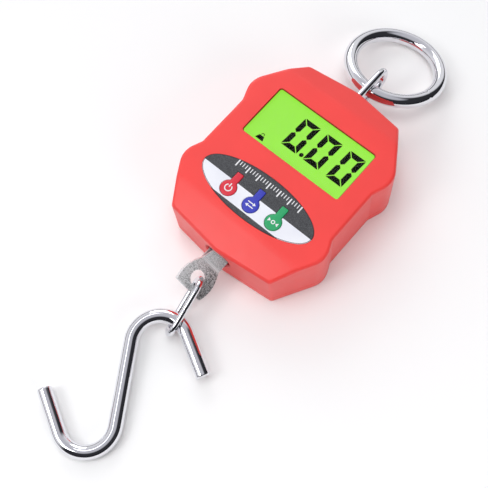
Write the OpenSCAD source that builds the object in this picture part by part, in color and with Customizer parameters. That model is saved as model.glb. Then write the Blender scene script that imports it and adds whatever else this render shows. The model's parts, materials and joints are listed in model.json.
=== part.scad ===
// Digital hanging scale: a moulded case with a display and three buttons, a load cell inside,
// a lifting ring on a wire eye at the top, and a swivelling lug, link and S-hook at the bottom.
// The case lies on its flat back: X across the case, Y from hook to ring, Z out of the display.
// The origin is the middle of the flat back.

/* [Case] */
// Thickness of the case, back to front
case_d = 31.6; // [30:0.2:34]
// Half the length of the case, at its middle
case_half_l = 50.85; // [50:0.05:52]
// Half the width at the upper and lower shoulders, before rounding
shoulder_half_w = 42.3; // [42:0.1:43]
// Half the width at the waist
waist_half_w = 38.2; // [38:0.1:39]
// Half the width of the top edge
top_half_w = 26.4; // [25.5:0.1:27]
// Half the width of the bottom edge
bottom_half_w = 29.1; // [28.5:0.1:30]
// Wall of both covers
wall = 2.2; // [2:0.1:2.4]
// Height of the seam between the covers
seam_z = 5; // [4.6:0.1:5.4]
// Fall of the front face at both ends, per millimetre
end_slope = 0.39; // [0.36:0.01:0.4]

/* [Display and buttons] */
// Width of the display window
window_w = 56; // [54:0.5:57]
// Height of the display window
window_h = 28.4; // [27:0.1:29]
// Depth of the display below the front face
window_recess = 0.95; // [0.8:0.05:1]
// Distance between the buttons
button_pitch = 13.1; // [12.6:0.1:13.6]
// Radius of the round part of a button
button_r = 3.9; // [3.6:0.1:4]
// Travel of a button
button_travel = 0.6; // [0.4:0.1:0.6]

/* [Ring and eye] */
// Radius of the ring at the middle of its wire
ring_r = 22.75; // [22:0.25:24]
// Radius of the ring's wire
ring_wire_r = 3.4; // [3:0.1:3.4]
// Radius of the eye's wire
eye_wire_r = 1.8; // [1.6:0.1:1.8]
// Half the distance between the eye's two legs
eye_half_w = 6.2; // [6.2:0.1:6.4]

/* [Lug, link and hook] */
// Angle of the lug about the swivel
lug_turn = 34; // [0:1:60]
// Radius of the hole in the lug
lug_hole_r = 3.9; // [3.8:0.1:4]
// Radius of the link's wire
link_wire_r = 1.5; // [1.4:0.1:1.6]
// Radius of the hook's wire
hook_wire_r = 3.4; // [3.2:0.1:3.4]
// Radius of the hook's bends at the middle of the wire
hook_bend_r = 13.1; // [12.6:0.1:13.6]

/* [Hidden] */

$fn = 48;
eps = 0.01;
case_red = "#f4524c";
steel = "#c9ccd1";

// the load line runs along Y at this height
axis_z = 16;

// outline of the case: each corner is [x, y, rounding], right half from the top down
half_outline = [
    [top_half_w, 47.1, 2.8], [shoulder_half_w, 22.9, 10.9], [waist_half_w, 12, 3.4],
    [waist_half_w, -16, 3.4], [shoulder_half_w, -25.1, 10.6], [bottom_half_w, -48, 2.2]];
outline_corners = concat([[0, case_half_l, 20]], half_outline, [[0, -case_half_l, 20]],
    [for (i = [len(half_outline) - 1 : -1 : 0])
        [-half_outline[i].x, half_outline[i].y, half_outline[i].z]]);
crease_top_y = 38.3;
crease_bottom_y = -36.15;

// display stack
window_y = 13.9;
window_corner_r = 1.5;
lens_edge = 1.5;
lens_top_z = case_d - window_recess;
inner_z = case_d - wall;
board_z = 21.6;
board_t = 1.6;
board_top_z = board_z + board_t;
glass_w = 60;
glass_h = 33;
glass_t = 2.6;
glass_z = inner_z - glass_t - 0.2;

// buttons and label
button_y = -26.4;
tab_w = 3.5;
tab_top_y = 8.8;
button_gap = 0.2;
button_proud = 0.5;
label_half_w = 31.2;
label_half_h = 11.7;
label_y = -21.9;
label_t = 0.5;
label_recess = 0.4;

// load cell
cell_half_w = 11;
cell_t = 9;
cell_bottom_y = -24;
cell_top_y = 30;
cell_bolt_r = 3;

// screws
case_screw_xy = [[26, 38], [-26, 38], [26, -38.5], [-26, -38.5]];
board_screw_xy = [[30, -8], [-30, -8], [28, -31], [-28, -31]];
case_boss_r = 3.2;
case_screw_r = 1.4;
board_boss_r = 2.4;
board_screw_r = 0.95;

// battery bay, on the left of the load cell
bay_x0 = -34.9;
bay_x1 = -13.1;
bay_half_l = 25.5;
bay_wall = 1;
bay_top_z = 13.4;
battery_r = 5.25;
battery_l = 43.5;
battery_z = 7.7;
battery_x = [-29.5, -18.5];
battery_shift = 1.8;
door_t = 2;
door_gap = 0.25;
door_half_l = 27.4;

// eye and ring
eye_top_y = 71.95;
eye_end_y = 34.2;
yoke_y = 37;
yoke_t = 3;
ring_y = 60.2;
ring_z = axis_z + 0.7;
ring_dip = asin((ring_z - ring_wire_r) / (2 * ring_r));

// swivel
port_r = 6.8;
bridge_y = -42;
strap_t = 1.4;
strap_half_gap = 0.1;
strap_spread = 4.6;
spread_y = -48.6;
bend_y = -55.85;
lug_hole_y = -64.05;
lug_end_y = -70.75;
neck_half_w = 5.2;
neck_top_half_w = 4.3;
lug_half_w = 7.7;
lug_end_half_w = 7.4;
swivel_bore_r = 2.55;
swivel_bolt_r = 2.5;

// link: centre, turn, half length between its bends, and bend radius
link_at = [2.45, -76.7, 9.9];
link_turn = [20.3, 24.4, 15.8];
link_half_l = 8.55;
link_bend_r = 5.7;

// hook: centre, turn, half length of its shank, angle of its bends, and length of its arms
hook_at = [4.2, -119.8, 5.5];
hook_turn = [3.7, 0, 32.7];
hook_half_l = 19.1;
hook_bend = 150;
hook_arm_l = 21.4;

// ---- plan geometry ----

function unit(v) = v / norm(v);

// points of the arc that rounds corner b between its neighbours a and c
function fillet(a, b, c, r, n) =
    let (u = unit(a - b), v = unit(c - b), half = acos(u * v) / 2,
        centre = b + unit(u + v) * r / sin(half),
        p = b + u * r / tan(half) - centre, q = b + v * r / tan(half) - centre,
        from = atan2(p.y, p.x), turn = (atan2(q.y, q.x) - from + 540) % 360 - 180)
    [for (i = [0 : n]) centre + r * [cos(from + turn * i / n), sin(from + turn * i / n)]];

function plan(c) = [c.x, c.y];
function before(c, i) = plan(c[(i + len(c) - 1) % len(c)]);
function after(c, i) = plan(c[(i + 1) % len(c)]);

// corner i moved in by d, with its rounding smaller on a convex corner and larger on a concave one
function inset_corner(c, i, d) =
    let (b = plan(c[i]), u = unit(before(c, i) - b), v = unit(after(c, i) - b),
        half = acos(u * v) / 2, side = sign(u.x * v.y - u.y * v.x),
        at = b + unit(u + v) * side * d / sin(half))
    [at.x, at.y, max(c[i].z - side * d, 0.4)];

function inset_corners(c, d) = [for (i = [0 : len(c) - 1]) inset_corner(c, i, d)];
function rounded(c, n = 6) =
    [for (i = [0 : len(c) - 1]) each fillet(before(c, i), plan(c[i]), after(c, i), c[i].z, n)];

// the case's plan, moved in by d
module case_plan(d = 0) {
    polygon(rounded(d == 0 ? outline_corners : inset_corners(outline_corners, d)));
}

// height of the front face at y, with the face lowered by d
function face_z(y, d = 0) =
    case_d - d - end_slope * (max(0, y - crease_top_y) + max(0, crease_bottom_y - y));

// everything between z0 and the front face lowered by d
module under_face(z0, d = 0) {
    reach = 60;
    ys = [-reach, crease_bottom_y, crease_top_y, reach];
    rotate([90, 0, 90])
        linear_extrude(2 * reach, center = true)
            polygon(concat([[-reach, z0]], [for (y = ys) [y, face_z(y, d)]], [[reach, z0]]));
}

module slab(x0, x1, y0, y1, z0, z1) {
    translate([x0, y0, z0])
        cube([x1 - x0, y1 - y0, z1 - z0]);
}

module rounded_slab(w, h, r, y, z0, z1) {
    translate([0, y, z0])
        linear_extrude(z1 - z0)
            polygon(rounded([[w / 2, h / 2, r], [w / 2, -h / 2, r],
                [-w / 2, -h / 2, r], [-w / 2, h / 2, r]]));
}

// a cylinder along Y from y0 to y1
module rod(r, y0, y1, x = 0, z = axis_z) {
    translate([x, y0, z])
        rotate([-90, 0, 0])
            cylinder(r = r, h = y1 - y0);
}

// a hexagonal prism along Y, s across its flats
module hex_bar(s, y0, y1, z = axis_z) {
    translate([0, y0, z])
        rotate([-90, 0, 0])
            cylinder(r = s / 2 / cos(30), h = y1 - y0, $fn = 6);
}

// part of a ring of round wire in the XY plane, from angle a0 through turn
module bent_wire(bend_r, wire_r, a0, turn) {
    rotate([0, 0, a0])
        rotate_extrude(angle = turn, $fn = 72)
            translate([bend_r, 0])
                circle(wire_r, $fn = 32);
}

// ---- covers ----

// a button's plan: a disc with a tab towards the display, grown by d
module keyhole(d = 0) {
    circle(button_r + d);
    translate([-tab_w / 2 - d, 0])
        square([tab_w + 2 * d, tab_top_y + d]);
}

module keyholes(d, z0, z1) {
    for (i = [-1 : 1])
        translate([i * button_pitch, button_y, z0])
            linear_extrude(z1 - z0)
                keyhole(d);
}

module label_plan(d = 0) {
    steps = 72;
    polygon([for (i = [0 : steps - 1]) [(label_half_w + d) * cos(i * 360 / steps),
        label_y + (label_half_h + d) * sin(i * 360 / steps)]]);
}

module front_cover() {
    color(case_red)
    difference() {
        union() {
            difference() {
                intersection() {
                    translate([0, 0, seam_z])
                        linear_extrude(case_d)
                            case_plan();
                    under_face(0);
                }
                intersection() {
                    translate([0, 0, seam_z - eps])
                        linear_extrude(case_d)
                            case_plan(wall);
                    under_face(0, wall);
                }
            }
            for (p = case_screw_xy)
                translate([p.x, p.y, seam_z])
                    cylinder(r = case_boss_r, h = inner_z - seam_z - 0.5);
            for (p = board_screw_xy)
                translate([p.x, p.y, board_top_z])
                    cylinder(r = board_boss_r, h = inner_z - board_top_z + eps);
        }
        rounded_slab(window_w, window_h, window_corner_r, window_y, inner_z - 1, case_d + 1);
        rounded_slab(window_w + 2 * lens_edge, window_h + 2 * lens_edge, 1, window_y,
            inner_z - 1, lens_top_z);
        keyholes(button_gap, inner_z - 1, case_d + 1);
        translate([0, 0, case_d - label_recess])
            linear_extrude(1)
                label_plan(0.1);
        for (p = case_screw_xy)
            translate([p.x, p.y, seam_z - 1])
                cylinder(r = case_screw_r + 0.05, h = 13);
        for (p = board_screw_xy)
            translate([p.x, p.y, board_top_z - 1])
                cylinder(r = board_screw_r + 0.05, h = 5);
        for (s = [-1, 1])
            rod(eye_wire_r + 0.3, case_half_l - 6, case_half_l + 2, z = axis_z + s * eye_half_w);
        rod(port_r, -case_half_l - 2, -case_half_l + 6);
    }
}

module rear_cover() {
    lip_t = 1;
    lip_h = 2;
    color(case_red)
    difference() {
        union() {
            difference() {
                linear_extrude(seam_z)
                    case_plan();
                translate([0, 0, wall])
                    linear_extrude(seam_z)
                        case_plan(wall);
            }
            difference() {
                translate([0, 0, wall])
                    linear_extrude(seam_z + lip_h - wall)
                        case_plan(wall + 0.1);
                translate([0, 0, wall - eps])
                    linear_extrude(seam_z + lip_h)
                        case_plan(wall + 0.1 + lip_t);
            }
            for (p = case_screw_xy)
                translate([p.x, p.y, 0])
                    cylinder(r = case_boss_r, h = seam_z);
            slab(bay_x0 - bay_wall, bay_x1 + bay_wall, -bay_half_l - bay_wall,
                bay_half_l + bay_wall, 0.5, bay_top_z);
        }
        slab(bay_x0, bay_x1, -bay_half_l, bay_half_l, -1, bay_top_z + 1);
        slab(bay_x0 - door_gap, bay_x1 + door_gap, -door_half_l, door_half_l, -1, wall - 0.1);
        for (p = case_screw_xy)
            translate([p.x, p.y, -1]) {
                cylinder(r = case_screw_r + 0.2, h = seam_z + 2);
                cylinder(r = 2.9, h = 4.2);
            }
        for (p = case_screw_xy)
            translate([p.x, p.y, seam_z])
                cylinder(r = case_boss_r + 0.15, h = lip_h + 1);
    }
}

// two hooks at the top end, and a sprung tongue at the bottom end
module battery_door() {
    hook_w = 4;
    ends = [-door_half_l + door_gap, door_half_l - door_gap];
    mid_x = (bay_x0 + bay_x1) / 2;
    color(case_red)
    union() {
        difference() {
            slab(bay_x0, bay_x1, ends[0], ends[1], 0, door_t);
            slab(mid_x - 4.6, mid_x - 4, ends[0] - 1, ends[0] + 8, -1, door_t + 1);
            slab(mid_x + 4, mid_x + 4.6, ends[0] - 1, ends[0] + 8, -1, door_t + 1);
            for (i = [0 : 5])
                slab(mid_x - 3, mid_x + 3, ends[0] + 1.2 + i, ends[0] + 1.7 + i, -1, 0.4);
        }
        for (x = [bay_x0 + 3, bay_x1 - 3 - hook_w])
            slab(x, x + hook_w, bay_half_l - 1.6, bay_half_l - 0.4, door_t - eps, door_t + 0.8);
    }
}

// ---- display ----

module display_lens() {
    color([0.85, 0.95, 0.85, 0.35])
        rounded_slab(window_w + 2 * lens_edge - 0.2, window_h + 2 * lens_edge - 0.2, 1,
            window_y, inner_z, lens_top_z);
}

module lcd_glass() {
    color("#9fe84a")
        rounded_slab(glass_w, glass_h, 0.5, window_y, glass_z, glass_z + glass_t);
}

module lcd_frame() {
    color("#e9e9e4")
    difference() {
        rounded_slab(glass_w + 4, glass_h + 4, 1.2, window_y, board_top_z, inner_z - 0.1);
        rounded_slab(glass_w + 0.4, glass_h + 0.4, 0.6, window_y, board_top_z - 1, inner_z + 1);
    }
}

module backlight_panel() {
    color("#f4fbe9")
        rounded_slab(glass_w - 1, glass_h - 4, 0.5, window_y + 1.5, board_top_z, glass_z - 0.05);
}

module contact_strip() {
    y = window_y - glass_h / 2 + 0.4;
    color("#5a5a5c")
        slab(-27, 27, y, y + 1.8, board_top_z, glass_z);
}

// ---- board ----

module main_board() {
    color("#1f6b3c")
    difference() {
        translate([0, 0, board_z])
            linear_extrude(board_t)
                polygon(rounded([[32, 33, 1], [34, 29.5, 1], [34, -22, 1.5], [29.5, -34, 1.5],
                    [-29.5, -34, 1.5], [-34, -22, 1.5], [-34, 29.5, 1], [-32, 33, 1]]));
        for (p = board_screw_xy)
            translate([p.x, p.y, board_z - 1])
                cylinder(r = board_screw_r + 0.2, h = board_t + 2);
    }
}

// a flat chip under the board with legs on two sides
module chip(x, y, w, l, legs) {
    pitch = l / legs;
    color("#26282b")
    union() {
        slab(x - w / 2, x + w / 2, y - l / 2, y + l / 2, board_z - 1.7, board_z - 0.2);
        for (i = [0 : legs - 1], s = [-1, 1])
            slab(x + s * (w / 2 + 0.4) - 0.5, x + s * (w / 2 + 0.4) + 0.5,
                y - l / 2 + (i + 0.3) * pitch, y - l / 2 + (i + 0.7) * pitch,
                board_z - 0.7, board_z);
    }
}

module controller_chip() { chip(22, 8, 7.5, 12, 8); }

module converter_chip() { chip(22, -8, 4, 8, 6); }

module tact_switches() {
    body = 6;
    color("#303236")
    for (i = [-1 : 1]) {
        x = i * button_pitch;
        slab(x - body / 2, x + body / 2, button_y - body / 2, button_y + body / 2,
            board_top_z, board_top_z + 3.3);
        translate([x, button_y, board_top_z + 3.3 - eps])
            cylinder(r = 1.7, h = 0.7);
    }
}

// ---- buttons and label ----

module button(i, shade) {
    flange_z = inner_z - 0.3;
    plunger_z = board_top_z + 4.1 + button_travel;
    color(shade)
    translate([i * button_pitch, button_y, 0]) {
        translate([0, 0, flange_z - 0.01])
            linear_extrude(case_d + button_proud - flange_z + 0.01)
                keyhole();
        translate([0, 0, flange_z - 0.7])
            linear_extrude(0.7)
                keyhole(0.8);
        translate([0, 0, plunger_z])
            cylinder(r = 2, h = flange_z - plunger_z - 0.5);
    }
}

module power_button() { button(-1, "#e23a48"); }

module unit_button() { button(0, "#3f49c0"); }

module tare_button() { button(1, "#2fae66"); }

module face_label() {
    color("#3a3c40")
    difference() {
        translate([0, 0, case_d - label_recess])
            linear_extrude(label_t)
                label_plan();
        keyholes(button_gap, case_d - 1, case_d + 1);
    }
}

// ---- load path inside the case ----

// S-shaped beam: two slots cut in from opposite sides towards a pair of bores
module load_cell() {
    mid_y = (cell_top_y + cell_bottom_y) / 2;
    slot = 1.6;
    bore_r = 4;
    bore_x = 3.6;
    half_neck = 7;
    color("#b9bdc4")
    difference() {
        slab(-cell_half_w, cell_half_w, cell_bottom_y, cell_top_y, axis_z - cell_t / 2,
            axis_z + cell_t / 2);
        for (s = [-1, 1]) {
            translate([s * bore_x, mid_y, 0])
                cylinder(r = bore_r, h = 2 * case_d);
            slab(s > 0 ? -cell_half_w - 1 : -half_neck, s > 0 ? half_neck : cell_half_w + 1,
                mid_y + s * 9 - slot / 2, mid_y + s * 9 + slot / 2, 0, case_d);
        }
        rod(cell_bolt_r + 0.05, cell_top_y - 14, cell_top_y + 1);
        rod(swivel_bolt_r + 0.05, cell_bottom_y - 1, cell_bottom_y + 12);
    }
}

module strain_gauges() {
    mid_y = (cell_top_y + cell_bottom_y) / 2;
    color("#d9a441")
    for (s = [-1, 1])
        slab(-3, 3, mid_y + s * 6 - 1.2, mid_y + s * 6 + 1.2, axis_z + cell_t / 2,
            axis_z + cell_t / 2 + 0.2);
}

module signal_leads() {
    bend = board_z - axis_z;
    color("#c03a3a")
    for (i = [0 : 3])
        translate([cell_half_w, 1 + 1.5 * i, board_z])
            rotate([90, 0, 0])
                bent_wire(bend, 0.5, -90, 90);
}

module eye_yoke() {
    color(steel)
    difference() {
        slab(-6, 6, yoke_y, yoke_y + yoke_t, axis_z - eye_half_w - 3.5, axis_z + eye_half_w + 3.5);
        for (s = [-1, 1])
            rod(eye_wire_r + 0.05, yoke_y - 1, yoke_y + yoke_t + 1, z = axis_z + s * eye_half_w);
        rod(cell_bolt_r + 0.1, yoke_y - 1, yoke_y + yoke_t + 1);
    }
}

module anchor_bolt() {
    color(steel)
    union() {
        rod(cell_bolt_r, cell_top_y - 12, yoke_y + yoke_t + eps);
        rod(4.2, yoke_y + yoke_t, yoke_y + yoke_t + 4.2);
    }
}

module top_eye() {
    color(steel)
    union() {
        for (s = [-1, 1])
            rod(eye_wire_r, eye_end_y, eye_top_y - eye_half_w, z = axis_z + s * eye_half_w);
        translate([0, eye_top_y - eye_half_w, axis_z])
            rotate([0, -90, 0])
                bent_wire(eye_half_w, eye_wire_r, 0, 180);
    }
}

module eye_nuts() {
    color(steel)
    for (s = [-1, 1])
        difference() {
            hex_bar(5.5, yoke_y - 2.4, yoke_y, z = axis_z + s * eye_half_w);
            rod(eye_wire_r + 0.02, yoke_y - 3, yoke_y + 1, z = axis_z + s * eye_half_w);
        }
}

module hang_ring() {
    color(steel)
    translate([0, ring_y, ring_z])
        rotate([-ring_dip, 0, 0])
            translate([0, ring_r, 0])
                bent_wire(ring_r, ring_wire_r, 0, 360);
}

// ---- swivel, link and hook ----

module swivel_bolt() {
    color(steel)
    union() {
        rod(swivel_bolt_r, bridge_y - strap_t - 0.1, cell_bottom_y + 10);
        rod(3, bridge_y - strap_t - 3.1, bridge_y - strap_t - 0.1);
    }
}

module lock_nut() {
    color(steel)
    difference() {
        hex_bar(8.6, bridge_y + 1.3, bridge_y + 5.3);
        rod(swivel_bolt_r + 0.02, bridge_y, bridge_y + 6);
    }
}

module thrust_washer() {
    color("#e8e2d0")
    difference() {
        rod(4.6, bridge_y + 0.15, bridge_y + 1.25);
        rod(swivel_bore_r, bridge_y, bridge_y + 2);
    }
}

// edge view of the strap, in Y and Z, as [y, half thickness]
strap_outer = [[bridge_y, strap_spread], [spread_y, strap_spread],
    [bend_y, strap_half_gap + strap_t], [lug_end_y, strap_half_gap + strap_t]];
strap_inner = [[bridge_y - strap_t, strap_spread - strap_t],
    [spread_y, strap_spread - strap_t], [bend_y, strap_half_gap], [lug_end_y - 1, strap_half_gap]];

function both_sides(p) =
    concat(p, [for (i = [len(p) - 1 : -1 : 0]) [p[i].x, -p[i].y]]);

// plan of the flattened strap: a narrow neck, convex sides and a square-cut end
module lug_plan() {
    side_steps = 12;
    side = [for (i = [0 : side_steps])
        let (t = i / side_steps, y = bend_y + t * (lug_end_y - bend_y),
            base = neck_half_w + t * (lug_end_half_w - neck_half_w))
        [base + (lug_half_w - (neck_half_w + lug_end_half_w) / 2 + 0.3) * sin(180 * t), y]];
    right = concat([[neck_top_half_w, bridge_y + 1], [neck_top_half_w, spread_y]], side);
    polygon(concat(right, [for (i = [len(right) - 1 : -1 : 0]) [-right[i].x, right[i].y]]));
}

// a strap folded round the bolt's head, its two legs meeting at the bend and holed for the link
module swivel_lug() {
    color("#a9abad")
    translate([0, 0, axis_z])
        rotate([0, lug_turn, 0])
            difference() {
                intersection() {
                    translate([0, 0, -10])
                        linear_extrude(20)
                            lug_plan();
                    rotate([90, 0, 90])
                        linear_extrude(30, center = true)
                            difference() {
                                polygon(both_sides(strap_outer));
                                polygon(both_sides(strap_inner));
                            }
                }
                translate([0, lug_hole_y, -10])
                    cylinder(r = lug_hole_r, h = 20);
                rod(swivel_bore_r, bridge_y - 4, bridge_y + 1, z = 0);
            }
}

module chain_link() {
    color(steel)
    translate(link_at)
        rotate(link_turn)
            rotate([0, 90, 0])
                union() {
                    for (s = [-1, 1]) {
                        translate([s * link_bend_r, -link_half_l, 0])
                            rotate([-90, 0, 0])
                                cylinder(r = link_wire_r, h = 2 * link_half_l, $fn = 32);
                        translate([0, s * link_half_l, 0])
                            bent_wire(link_bend_r, link_wire_r, s > 0 ? 0 : 180, 180);
                    }
                }
}

// a bend of the hook and its arm; the other end of the hook is its half turn
module hook_end() {
    taper = 0.6;
    translate([hook_bend_r, hook_half_l, 0]) {
        bent_wire(hook_bend_r, hook_wire_r, 180 - hook_bend, hook_bend);
        rotate([0, 0, 180 - hook_bend])
            translate([hook_bend_r, 0, 0])
                rotate([90, 0, 0]) {
                    cylinder(r = hook_wire_r, h = hook_arm_l - taper, $fn = 32);
                    translate([0, 0, hook_arm_l - taper])
                        cylinder(r1 = hook_wire_r, r2 = hook_wire_r - taper, h = taper, $fn = 32);
                }
    }
}

module s_hook() {
    color(steel)
    translate(hook_at)
        rotate(hook_turn)
            union() {
                translate([0, -hook_half_l, 0])
                    rotate([-90, 0, 0])
                        cylinder(r = hook_wire_r, h = 2 * hook_half_l, $fn = 32);
                hook_end();
                rotate([0, 0, 180])
                    hook_end();
            }
}

// ---- batteries ----

module battery_cells() {
    nub = 1;
    color("#3b3f46")
    for (i = [0, 1]) {
        way = 1 - 2 * i;
        y0 = -battery_l / 2 + way * battery_shift;
        rod(battery_r, y0, y0 + battery_l, x = battery_x[i], z = battery_z);
        rod(1.9, way > 0 ? y0 + battery_l : y0 - nub, way > 0 ? y0 + battery_l + nub : y0,
            x = battery_x[i], z = battery_z);
    }
}

// a coil of wire along Y, swept by a polyhedron
module coil(r, wire_r, turns, length) {
    sides = 8;
    per_turn = 14;
    rings = turns * per_turn;
    function spot(i, j) =
        let (a = 360 * i / per_turn, b = 360 * j / sides, d = r + wire_r * cos(b))
        [d * cos(a), length * i / rings + wire_r * sin(b), d * sin(a)];
    points = [for (i = [0 : rings], j = [0 : sides - 1]) spot(i, j)];
    skin = [for (i = [0 : rings - 1], j = [0 : sides - 1])
        [i * sides + (j + 1) % sides, (i + 1) * sides + (j + 1) % sides,
            (i + 1) * sides + j, i * sides + j]];
    caps = [[for (j = [sides - 1 : -1 : 0]) j],
        [for (j = [0 : sides - 1]) rings * sides + j]];
    polyhedron(points, concat(skin, caps));
}

module battery_springs() {
    wire_r = 0.35;
    gap = bay_half_l - battery_l / 2 + battery_shift - 0.6;
    color("#d8dadd")
    for (i = [0, 1]) {
        way = 1 - 2 * i;
        translate([battery_x[i], 0, battery_z])
            rotate([0, 0, way > 0 ? 0 : 180])
                translate([0, -bay_half_l + 0.6 + wire_r, 0])
                    coil(3, wire_r, 3, gap - 2 * wire_r - 0.1);
    }
}

module contact_plates() {
    plate_t = 0.5;
    color("#d8dadd")
    for (s = [-1, 1]) {
        y = s * (bay_half_l - plate_t / 2 - 0.05);
        if (s > 0)
            slab(battery_x[0] - 4.5, battery_x[1] + 4.5, y - plate_t / 2, y + plate_t / 2, 3, 12.4);
        else
            for (x = battery_x)
                slab(x - 4.5, x + 4.5, y - plate_t / 2, y + plate_t / 2, 3, 15);
    }
}

module battery_leads() {
    color("#222222")
    for (x = battery_x)
        translate([x, -bay_half_l + 1.15, 13.6])
            cylinder(r = 0.6, h = board_z - 13.6);
}

// ---- screws ----

// a pan-head screw along +Z with its head at the bottom
module screw(r, length, head_r, head_h) {
    difference() {
        union() {
            cylinder(r = head_r, h = head_h);
            translate([0, 0, head_h - eps])
                cylinder(r = r, h = length);
        }
        for (a = [0, 90])
            rotate([0, 0, a])
                translate([-head_r * 0.6, -head_r * 0.14, -1])
                    cube([head_r * 1.2, head_r * 0.28, 1 + head_h * 0.5]);
    }
}

module case_screws() {
    color("#8d9095")
    for (p = case_screw_xy)
        translate([p.x, p.y, 1.4])
            screw(case_screw_r, 11, 2.6, 1.8);
}

module board_screws() {
    color("#8d9095")
    for (p = board_screw_xy)
        translate([p.x, p.y, board_z - 1.2])
            screw(board_screw_r, 5, 1.9, 1.2);
}

front_cover();
rear_cover();
battery_door();
display_lens();
lcd_glass();
lcd_frame();
backlight_panel();
contact_strip();
main_board();
controller_chip();
converter_chip();
tact_switches();
power_button();
unit_button();
tare_button();
face_label();
load_cell();
strain_gauges();
signal_leads();
eye_yoke();
anchor_bolt();
top_eye();
eye_nuts();
hang_ring();
swivel_bolt();
lock_nut();
thrust_washer();
swivel_lug();
chain_link();
s_hook();
battery_cells();
battery_springs();
contact_plates();
battery_leads();
case_screws();
board_screws();
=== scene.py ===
import json
import math

import bmesh
import bpy
from mathutils import Euler, Matrix, Vector
from mathutils.geometry import delaunay_2d_cdt


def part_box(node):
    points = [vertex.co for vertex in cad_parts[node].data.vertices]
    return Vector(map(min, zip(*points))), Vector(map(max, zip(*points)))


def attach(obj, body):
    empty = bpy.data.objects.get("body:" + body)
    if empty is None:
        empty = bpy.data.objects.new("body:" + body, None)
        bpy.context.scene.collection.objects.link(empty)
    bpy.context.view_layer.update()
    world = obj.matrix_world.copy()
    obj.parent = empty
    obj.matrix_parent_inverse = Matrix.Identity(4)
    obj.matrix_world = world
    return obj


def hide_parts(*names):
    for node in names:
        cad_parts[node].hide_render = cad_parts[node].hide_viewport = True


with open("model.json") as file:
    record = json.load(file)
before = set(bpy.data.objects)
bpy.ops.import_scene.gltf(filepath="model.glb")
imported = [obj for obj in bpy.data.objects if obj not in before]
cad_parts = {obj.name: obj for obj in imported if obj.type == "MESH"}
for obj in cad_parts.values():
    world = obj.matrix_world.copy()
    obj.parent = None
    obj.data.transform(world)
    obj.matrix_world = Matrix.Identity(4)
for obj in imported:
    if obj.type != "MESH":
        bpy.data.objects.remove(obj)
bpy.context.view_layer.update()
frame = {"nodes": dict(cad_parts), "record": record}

# Sizes below are in millimetres in the part's own frame, and MM turns them into metres.
MM = 0.001


def box_mm(node):
    low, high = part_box(node)
    return Vector(low) / MM, Vector(high) / MM


# ---- sizes that the frame gives ----

CASE_LOW, CASE_HIGH = box_mm("front_cover")
FACE_Z = CASE_HIGH.z
SEAM_Z = CASE_LOW.z
LENS_LOW, LENS_HIGH = box_mm("display_lens")
GLASS_TOP = box_mm("lcd_glass")[1].z
LABEL_LOW, LABEL_HIGH = box_mm("face_label")
INNER_Z = LENS_LOW.z
AXIS_Z = (box_mm("top_eye")[0].z + box_mm("top_eye")[1].z) / 2

# ---- the case's own shape ----

HALF_OUTLINE = [
    (26.4, 47.1, 2.8), (42.3, 22.9, 10.9), (38.2, 12.0, 3.4),
    (38.2, -16.0, 3.4), (42.3, -25.1, 10.6), (29.1, -48.0, 2.2)]
OUTLINE = (
    [(0.0, CASE_HIGH.y + 0.45, 20.0)] + HALF_OUTLINE + [(0.0, CASE_LOW.y - 0.4, 20.0)]
    + [(-x, y, r) for x, y, r in reversed(HALF_OUTLINE)])
CREASE_TOP, CREASE_BOTTOM = 38.3, -36.15
END_SLOPE = 0.39
CREASE_BLEND = 1.6
WALL = 2.2
EDGE_R = 1.5
SEAM_R = 0.25
SCREWS = [(26.0, 38.0), (-26.0, 38.0), (26.0, -38.5), (-26.0, -38.5)]
BOARD_SCREWS = [(30.0, -8.0), (-30.0, -8.0), (28.0, -31.0), (-28.0, -31.0)]


# ---- plan geometry ----

def arc(a, b, c, r, n):
    """Points that round the corner b, between its neighbours a and c, with radius r."""
    u, v = (a - b).normalized(), (c - b).normalized()
    half = math.acos(max(-1.0, min(1.0, u.dot(v)))) / 2
    centre = b + (u + v).normalized() * (r / math.sin(half))
    p = b + u * (r / math.tan(half)) - centre
    q = b + v * (r / math.tan(half)) - centre
    start = math.atan2(p.y, p.x)
    turn = (math.atan2(q.y, q.x) - start + 3 * math.pi) % (2 * math.pi) - math.pi
    return [centre + r * Vector((math.cos(start + turn * i / n), math.sin(start + turn * i / n)))
            for i in range(n + 1)]


def corners_inset(corners, d):
    """The corners (x, y, rounding) moved in by d."""
    out = []
    for i, (x, y, r) in enumerate(corners):
        b = Vector((x, y))
        u = (Vector(corners[i - 1][:2]) - b).normalized()
        v = (Vector(corners[(i + 1) % len(corners)][:2]) - b).normalized()
        side = math.copysign(1.0, u.x * v.y - u.y * v.x)
        half = math.acos(u.dot(v)) / 2
        at = b + (u + v).normalized() * (side * d / math.sin(half))
        out.append((at.x, at.y, max(r - side * d, 0.3)))
    return out


def rounded(corners, n=8):
    """One list of points for each corner, going the way the corners go."""
    pts = [Vector(c[:2]) for c in corners]
    return [arc(pts[i - 1], pts[i], pts[(i + 1) % len(pts)], corners[i][2], n)
            for i in range(len(corners))]


def straight_steps(arcs, step):
    return [max(1, round((arcs[(i + 1) % len(arcs)][0] - a[-1]).length / step))
            for i, a in enumerate(arcs)]


CASE_STEPS = straight_steps(rounded(OUTLINE), 1.6)


def case_ring(d):
    """The case's plan moved in by d, with as many points at every d."""
    arcs = rounded(corners_inset(OUTLINE, d))
    out = []
    for i, a in enumerate(arcs):
        nxt = arcs[(i + 1) % len(arcs)][0]
        out += a + [a[-1].lerp(nxt, k / CASE_STEPS[i]) for k in range(1, CASE_STEPS[i])]
    return out


def soft_ramp(t):
    """max(0, t) with its corner blended."""
    if t <= -CREASE_BLEND:
        return 0.0
    return t if t >= CREASE_BLEND else (t + CREASE_BLEND) ** 2 / (4 * CREASE_BLEND)


def face_z(y, drop=0.0):
    return FACE_Z - drop - END_SLOPE * (soft_ramp(y - CREASE_TOP) + soft_ramp(CREASE_BOTTOM - y))


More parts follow.
